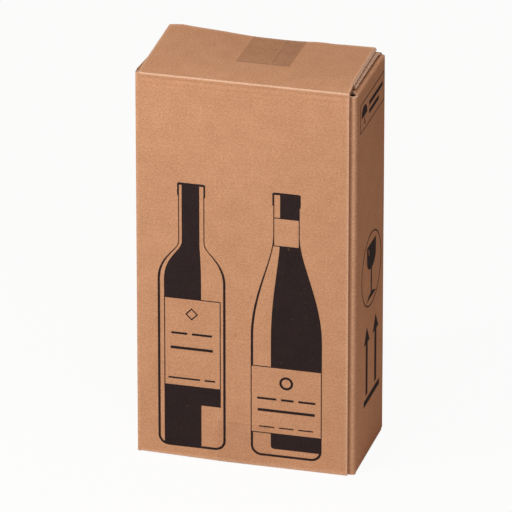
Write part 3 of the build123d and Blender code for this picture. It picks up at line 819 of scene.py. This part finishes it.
# %% Make the liners


def on_top(spec, level):
    """1 on the steps of a strip that lie at a level or above it, else 0."""
    return ramp(spec["walk"][0][:, 1] - level + 0.4, 0.4)


INNER_LEAN, OUTER_LEAN = 2.4, 1.0
BAND_START = -33.0


def outer_lean(y):
    """How far the outer flap's cut leans back, which begins where its pale band begins."""
    return OUTER_LEAN * ramp(y - BAND_START + 3, 4)


outside, inside = [], []
for spec in STRIPS:
    if spec is FRONT:
        trim = on_top(FRONT_SKIN, HEIGHT) * np.maximum(0.2, outer_lean(FRONT_SKIN["walk"][0][:, 0]))
        outside.append(panel(FRONT_SKIN, -LINER, 0.0, (0.0, trim)))
    elif spec is BACK:
        outside.append(panel(spec, HALF - LINER, HALF, (0.0, on_top(BACK, INNER_LEVEL) * INNER_LEAN)))
    else:
        outside.append(panel(spec, HALF - LINER, HALF))
    inside.append(panel(spec, -HALF, LINER - HALF))
build_piece("outer_liner", [outside], [liner_paper, cut_paper_painted_shade], "outer_case")
build_piece("inner_liner", [inside], [inner_paper_painted_shade, cut_paper_painted_shade], "outer_case")

# %% [markdown]
# ## The fluting between the liners
#
# The wavy sheet runs the whole length of each strip, but it can be seen only at cut edges. The
# walls are nearly flat, so ten columns of points are enough there. The outer top flap is bent,
# so the sheet gets more in it. The corners have no cut ends to speak of, and hold a plain core.

# %% Make the fluting
STEPS_PER_WAVE = 8
COLUMNS, FLAP_COLUMNS = 10, 48


def wave(distances):
    """The fluting's distance from the board's middle."""
    return FLUTE_HEIGHT / 2 * np.sin(2 * math.pi * distances / FLUTE_PITCH)


flutes = []
for spec in (FRONT, BACK, LEFT, RIGHT):
    fine = dict(spec, walk=walk(spec["points"], FLUTE_PITCH / STEPS_PER_WAVE))
    middle = wave(fine["walk"][2])
    flap = fine["walk"][0][:, 1] > WALL_TOP + 2
    parts = ((flap, FLAP_COLUMNS), (~flap, COLUMNS)) if spec is FRONT else ((None, COLUMNS),)
    for keep, columns in parts:
        flutes.append([panel(
            fine, middle - FLUTING / 2, middle + FLUTING / 2, (0.6, 0.6), ragged=0.5,
            seed=3.0, keep=keep, columns=columns)])
for spec in UPRIGHTS:
    flutes.append([panel(spec, LINER - HALF + 0.02, HALF - LINER - 0.02, (0.5, 0.5))])
build_piece("fluting", flutes, [fluting_paper, cut_paper_painted_shade], "outer_case", smooth_angle=60)

# %% [markdown]
# ## Crushed edges of the flaps
#
# A knife doesn't leave the flutes open like a row of arches. It squashes them, and what shows
# is a rough pale band of torn fibres, a little uneven, with dark pits where a flute is still
# open. The band bulges out between the two liners like a nose. Each side edge of the four
# large flaps gets one, and so do the right dust flap's front end and the torn top and foot of
# the front right corner.

# %% Make the crushed edges
BAND_STEP = 0.7
BAND_ROWS = 9


def crushed_band(spec, side, keep, nose, lean, seed):
    """A rough band of torn fibres along one side edge of a strip. side is -1 or 1.

    The band stands out by nose in its middle, and its outer corner is cut back by lean.
    """
    places, normals, distances = (a[keep] for a in walk(spec["points"], BAND_STEP))
    edges = spec["extent"](places[:, 0], places[:, 1])[0 if side < 0 else 1]
    offsets = np.linspace(LINER - HALF, HALF - LINER, BAND_ROWS)

    def grain(along, through, seed):
        return np.array([[noise.noise(Vector((d / along, o / through, seed))) for o in offsets]
                         for d in distances])

    rough, pits = grain(1.3, 1.0, seed), grain(2.4, 1.6, seed + 5)
    bulge = nose * (1 - (offsets / offsets[-1]) ** 2)
    slope = lean * (0.5 + 0.5 * offsets / offsets[-1]) ** 2
    depth = 0.2 + (slope - bulge)[None, :] + 0.35 * rough + 0.8 * np.clip(pits - 0.25, 0, 1)
    u, v = places[:, :1] + normals[:, :1] * offsets, places[:, 1:] + normals[:, 1:] * offsets
    grids = {}
    for key, reach in (("outer", np.clip(depth, -1.0, 3.2)), ("inner", np.full_like(depth, 3.6))):
        made = in_space(spec["axes"], u, v, edges[:, None] - side * reach)
        if spec["lift"]:
            made[..., 2] += spec["lift"](made[..., 0], made[..., 1], made[..., 2])
        grids[key] = made
    u = np.broadcast_to(offsets, rough.shape) + 50.0 * seed
    made = dict(grids, u=u, v=np.repeat(distances[:, None], BAND_ROWS, axis=1),
                wear=np.clip(depth, 0, 1))
    return made if side > 0 else {key: grid[:, ::-1] for key, grid in made.items()}


bands = []
for k, (spec, high) in enumerate(((FRONT, True), (FRONT, False), (BACK, True), (BACK, False))):
    y, level = walk(spec["points"], BAND_STEP)[0].T
    if high:
        keep = level > (OUTER_LEVEL if spec is FRONT else INNER_LEVEL) - 0.05
        keep &= (y > BAND_START) | (spec is BACK)
    else:
        keep = level < BOTTOM_LEVEL + (LAYER if spec is FRONT else 0) + 0.05
    for side in (-1, 1):
        lean = (INNER_LEAN if spec is BACK else OUTER_LEAN) if high and side > 0 else 0.0
        bands.append(crushed_band(spec, side, keep, 0.9 if high else 0.2, lean, 2.0 * k + side))
x, level = walk(RIGHT["points"], BAND_STEP)[0].T
front_end = (level > DUST_LEVEL - 0.05) & (x > 88)
bands.append(crushed_band(FRONT_RIGHT, 1, slice(None), 0.4, 0.0, 12.0))
bands.append(crushed_band(RIGHT, -1, front_end, 0.3, 0.0, 14.0))
bands.append(crushed_band(FRONT_RIGHT, -1, slice(None), 0.3, 0.0, 16.0))
torn_paper = paper_material("torn_fibres", (0.58, 0.38, 0.26, 1), (0.98, 0.76, 0.60, 1),
                            (0.25, 0.13, 0.08, 1), 0.95, 0.4, fibre_low=0.15)
build_piece("crushed_edges", [[band] for band in bands], [torn_paper], "outer_case",
            smooth_angle=50)

# %% [markdown]
# ## Finish of the pieces that stay as they are
#
# The printed ink and the fitment keep their solid form. Ink on kraft is matt and nearly black,
# and the paper's grain shows in it, so it is mixed from the same paper group.

# %% Ink and fitment


def ink_material():
    """Black water-based ink that lets the paper's grain through."""
    material, tree, shader = new_material("black_ink")
    place = add(tree, "ShaderNodeTexCoord").outputs["Object"]
    paper = add(tree, "ShaderNodeGroup", {"Place": place}, node_tree=paper_effect).outputs
    tone = weigh(tree, 0.6, paper["Fibres"], paper["Clouds"])
    colour = blend_colours(tree, tone, (0.020, 0.013, 0.014, 1), (0.036, 0.024, 0.024, 1))
    bare = maths(tree, "MULTIPLY", paper["Specks"], 0.15)
    colour = blend_colours(tree, bare, colour, LINER_DARK)
    rough = spread(tree, paper["Fibres"], 0, 1, 0.55, 0.68)
    finish_shader(tree, shader, colour, rough, paper["Height"], 0.08, 0.5, PAPER_GLOSS)
    return material


def refinish(node, material):
    """Gives a solid node one finish of its own."""
    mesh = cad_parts[node].data
    mesh.materials.clear()
    mesh.materials.append(material)


black_ink = ink_material()
for node in ("front_print", "side_print"):
    refinish(node, black_ink)
for node in ("base_cradle", "bottle_divider", "neck_cradle"):
    refinish(node, fitment_paper)

# %% [markdown]
# ## Clear tape
#
# Packing tape is a thin clear film. It darkens the paper under it a little, as water would,
# and is easiest to see where it was cut off, where it has creased and where the glue has let
# go and turned milky. So each strip is its own thin sheet with these creases in its shape, and
# its material is a weak brown film with milky marks. It has little gloss, because the soft
# light leaves almost none on flat tape.

# %% Tape material


def tape_material(name, cover):
    """Clear film that darkens the paper by some cover, with milky marks where it has lifted."""
    material, tree, shader = new_material(name)
    place = add(tree, "ShaderNodeUVMap", uv_map=SHEET_UV).outputs["UV"]
    cloud = noise_at(tree, place, 150.0, 5.0, 0.65)
    lifted = add(tree, "ShaderNodeAttribute", attribute_name=WEAR_AND_HIGHLIGHT).outputs["Fac"]
    milky = maths(tree, "MULTIPLY", spread(tree, cloud, 0.35, 0.7, 0.25, 1.0), lifted)
    colour = blend_colours(tree, milky, (0.13, 0.062, 0.036, 1), (0.80, 0.62, 0.50, 1))
    patchy = spread(tree, cloud, 0.3, 0.7, cover * 0.75, cover * 1.25)
    tree.links.new(maths(tree, "ADD", patchy, maths(tree, "MULTIPLY", milky, 0.45), clamp=True),
                   shader.inputs["Alpha"])
    rough = spread(tree, milky, 0, 1, 0.28, 0.5)
    finish_shader(tree, shader, colour, rough, cloud, 0.05, 0.5, 0.25)
    return material


# %% [markdown]
# A strip of tape is laid out like a layer of board, but it lies on the outside of everything.
# Where it lies on the outer flap it takes part in the flap's lift. The dispenser's blade leaves
# small teeth at both ends.

# %% Shape of a strip of tape
FILM = 0.05
CLEAR, CLEAR_ON_FLAP = 0.04, 0.06
TEETH = 1.6


def tape_strip(line, x_low, x_high, lifted, relief=None):
    """A closed thin sheet along a line in y and z, with zigzag cut ends."""
    places, normals, distances = walk(line, 0.8)
    xs = np.linspace(x_low, x_high, 126)
    x, d = np.meshgrid(xs, distances)
    teeth = 0.45 * np.abs((x - x_low) / TEETH % 2 - 1)
    shift = np.zeros_like(x)
    for end, way in ((distances[0], 1), (distances[-1], -1)):
        shift += np.clip(1 - np.abs(d - end) / 2.5, 0, 1) * teeth * way
    ways = np.c_[normals[:, 1], -normals[:, 0]]
    flat = places[:, None, :] + ways[:, None, :] * shift[..., None]
    over = CLEAR + CLEAR_ON_FLAP * (places[:, 1:] > HEIGHT - 0.5) + (relief(x, d) if relief else 0 * x)
    grids = []
    for extra in (FILM, 0.0):
        made = np.zeros((*x.shape, 3))
        made[..., 0] = x
        made[..., 1:] = flat + normals[:, None, :] * (over + extra)[..., None]
        made[..., 2] += (made[..., 2] > HEIGHT - 0.5) * flap_lift(made[..., 0], made[..., 1])
        grids.append(made[:, ::-1])
    return dict(outer=grids[0], inner=grids[1], u=x[:, ::-1], v=d[:, ::-1],
                wear=lifted(x, d)[:, ::-1])


# %% [markdown]
# The top tape was pressed down by hand. One long crease runs along it at two thirds of its
# width, where the film was laid double for a moment, and two finer lines cross it. Its end on
# the flap has a thin milky line, where the knife pulled it up.

# %% Top tape
top_low, top_high = (Vector(v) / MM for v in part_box("top_tape"))
CREASE_X = top_low.x + 0.65 * (top_high.x - top_low.x)
TOP_LINE = [(top_low.y, HEIGHT), (FLAP_END, HEIGHT, 0.6), (BACK_FACE, HEIGHT - 7.0, 3.0),
            (BACK_FACE, top_low.z)]
ON_FLAP = 60.0


def line_mark(value, at, width):
    """A soft mark along a line, 1 in its middle."""
    return np.exp(-((value - at) / width) ** 2)


def long_crease(x, d, width):
    """The crease that runs along the tape and wanders a little."""
    wander = np.array([[noise.noise(Vector((a / 12.0, 8.0, 0.0)))] for a in d[:, 0]])
    return line_mark(x + 0.5 * wander, CREASE_X, width)


def left_crossing(x, d, width):
    """The finer line to the left of the long crease."""
    return line_mark(d, 37 + 0.05 * x, width) * (x < CREASE_X)


def top_relief(x, d):
    """Creases in the top tape."""
    right_crossing = line_mark(d, 24 - 0.08 * x, 0.5) * (x > CREASE_X)
    crossings = 0.10 * left_crossing(x, d, 0.6) + 0.10 * right_crossing
    return (0.22 * long_crease(x, d, 0.5) + crossings) * (d < ON_FLAP)


def top_lifted(x, d):
    """The milky parts: two creases, the end on the flap, and a little right of the long crease."""
    marks = 0.7 * long_crease(x, d, 0.45) + 0.4 * left_crossing(x, d, 0.5)
    marks += 0.7 * line_mark(d, 1.0, 0.8)
    marks += 0.10 * ramp(x - CREASE_X, 1.5)
    return np.clip(marks, 0, 1)


top_strip = tape_strip(TOP_LINE, top_low.x, top_high.x, top_lifted, top_relief)
build_piece("top_film", [[top_strip]], [tape_material("clear_tape_top", 0.065)], "top_tape")

# %% [markdown]
# The bottom tape comes up the front a little way. Laid flat and seen squarely, it is almost
# invisible on the paper.

# %% Bottom tape
under_low, under_high = (Vector(v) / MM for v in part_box("bottom_tape"))
INK = 0.1
BOTTOM_LINE = [(under_high.y, TAPE), (FRONT_FACE - INK, TAPE, BOTTOM_FOLD + 0.06),
               (FRONT_FACE - INK, under_high.z)]


def bottom_lifted(x, d):
    """A faint milky line at both cut ends."""
    return 0.12 * line_mark(d.max() - d, 0.8, 0.8) + 0.12 * line_mark(d, 0.8, 0.8)


under_strip = tape_strip(BOTTOM_LINE, under_low.x, under_high.x, bottom_lifted)
build_piece("bottom_film", [[under_strip]], [tape_material("clear_tape_bottom", 0.022)],
            "bottom_tape")

# %% [markdown]
# ## Floor, light and camera
#
# The carton stands on a plain pale floor. One large soft lamp stands in front and to the left,
# which makes the front the brightest face, leaves the top a little darker and puts the right
# side in shade. A second lamp hangs above the lid. The world fills the shade. Only rays that
# come straight from the camera see the floor and the world as white paper.

# %% Floor
FLOOR_REACH = 4.0
floor_mesh = bpy.data.meshes.new("floor")
floor_corners = [(x * FLOOR_REACH, y * FLOOR_REACH, 0) for x, y in ((-1, -1), (1, -1), (1, 1), (-1, 1))]
floor_mesh.from_pydata(floor_corners, [], [(0, 1, 2, 3)])
floor = bpy.data.objects.new("floor", floor_mesh)
floor.location.z = -0.2 * MM
bpy.context.scene.collection.objects.link(floor)
floor_finish, tree, shader = new_material("floor_paper")
shader.inputs["Base Color"].default_value = (0.93, 0.88, 0.84, 1)
shader.inputs["Roughness"].default_value = 0.9
white = add(tree, "ShaderNodeEmission", {"Strength": 1.0})
share = spread(tree, add(tree, "ShaderNodeLightPath").outputs["Is Camera Ray"], 0, 1, 0.0, 0.94)
both = add(tree, "ShaderNodeMixShader", {0: share, 1: shader.outputs[0], 2: white.outputs[0]})
tree.links.new(both.outputs[0], tree.nodes["Material Output"].inputs[0])
floor_mesh.materials.append(floor_finish)

# %% World and lamps
world = bpy.data.worlds.new("studio")
bpy.context.scene.world = world
world.use_nodes = True
tree = world.node_tree
background = tree.nodes["Background"]
FILL = 0.25
seen = add(tree, "ShaderNodeLightPath").outputs["Is Camera Ray"]
tree.links.new(blend_colours(tree, seen, (1.0, 0.76, 0.67, 1), (1, 1, 1, 1)), background.inputs[0])
tree.links.new(spread(tree, seen, 0, 1, FILL, 1.0), background.inputs[1])


def soft_lamp(name, place, target, size, power, colour):
    """A square soft lamp at a place, aimed at a target. The camera doesn't see the lamp."""
    lamp = bpy.data.lights.new(name, "AREA")
    lamp.shape = "SQUARE"
    lamp.size = size
    lamp.energy = power
    lamp.color = colour
    holder = bpy.data.objects.new(name, lamp)
    way = Vector(place) - Vector(target)
    holder.location = place
    holder.rotation_euler = way.to_track_quat("Z", "Y").to_euler()
    holder.visible_camera = False
    bpy.context.scene.collection.objects.link(holder)


MIDDLE = (0, 0, HEIGHT / 2 * MM)
LID = (0, 0, HEIGHT * MM)
soft_lamp("key_lamp", (-0.93, -1.28, 1.25), MIDDLE, 0.8, 22.4, (0.98, 1.0, 0.98))
soft_lamp("top_lamp", (0.15, -0.45, 1.2), LID, 0.5, 3.2, (1.0, 0.97, 0.92))
print("lamps:", *(lamp.name for lamp in bpy.data.lights))

# %% [markdown]
# ## Camera
#
# The photograph was taken from far away with a long lens: its upright edges are nearly
# parallel. The camera stands to the right of the front and looks down at 24 degrees. The lens
# is given as a focal length in the picture's own pixels, which turns into millimetres on a
# 36 mm sensor.

# %% Camera
AZIMUTH, ELEVATION = math.radians(15.06), math.radians(24.03)
DISTANCE = 6861 * MM
FOCAL_PIXELS, PICTURE_PIXELS, SENSOR = 7510, 512, 36.0
SIDE_STEP, UP_STEP = -4.2 * MM, -3.2 * MM
back = Vector((math.sin(AZIMUTH) * math.cos(ELEVATION), -math.cos(AZIMUTH) * math.cos(ELEVATION),
               math.sin(ELEVATION)))
right = Vector((math.cos(AZIMUTH), math.sin(AZIMUTH), 0))
up = back.cross(right)
camera_data = bpy.data.cameras.new("camera")
camera_data.sensor_width = SENSOR
camera_data.lens = FOCAL_PIXELS / PICTURE_PIXELS * SENSOR
camera_data.clip_end = 30
camera = bpy.data.objects.new("camera", camera_data)
camera.location = Vector(MIDDLE) + DISTANCE * back + SIDE_STEP * right + UP_STEP * up
camera.rotation_euler = back.to_track_quat("Z", "Y").to_euler()
bpy.context.scene.collection.objects.link(camera)
bpy.context.scene.camera = camera
bpy.context.scene.view_settings.view_transform = "Standard"
print(f"lens {camera_data.lens:.0f} mm at {camera.location.length:.2f} m")
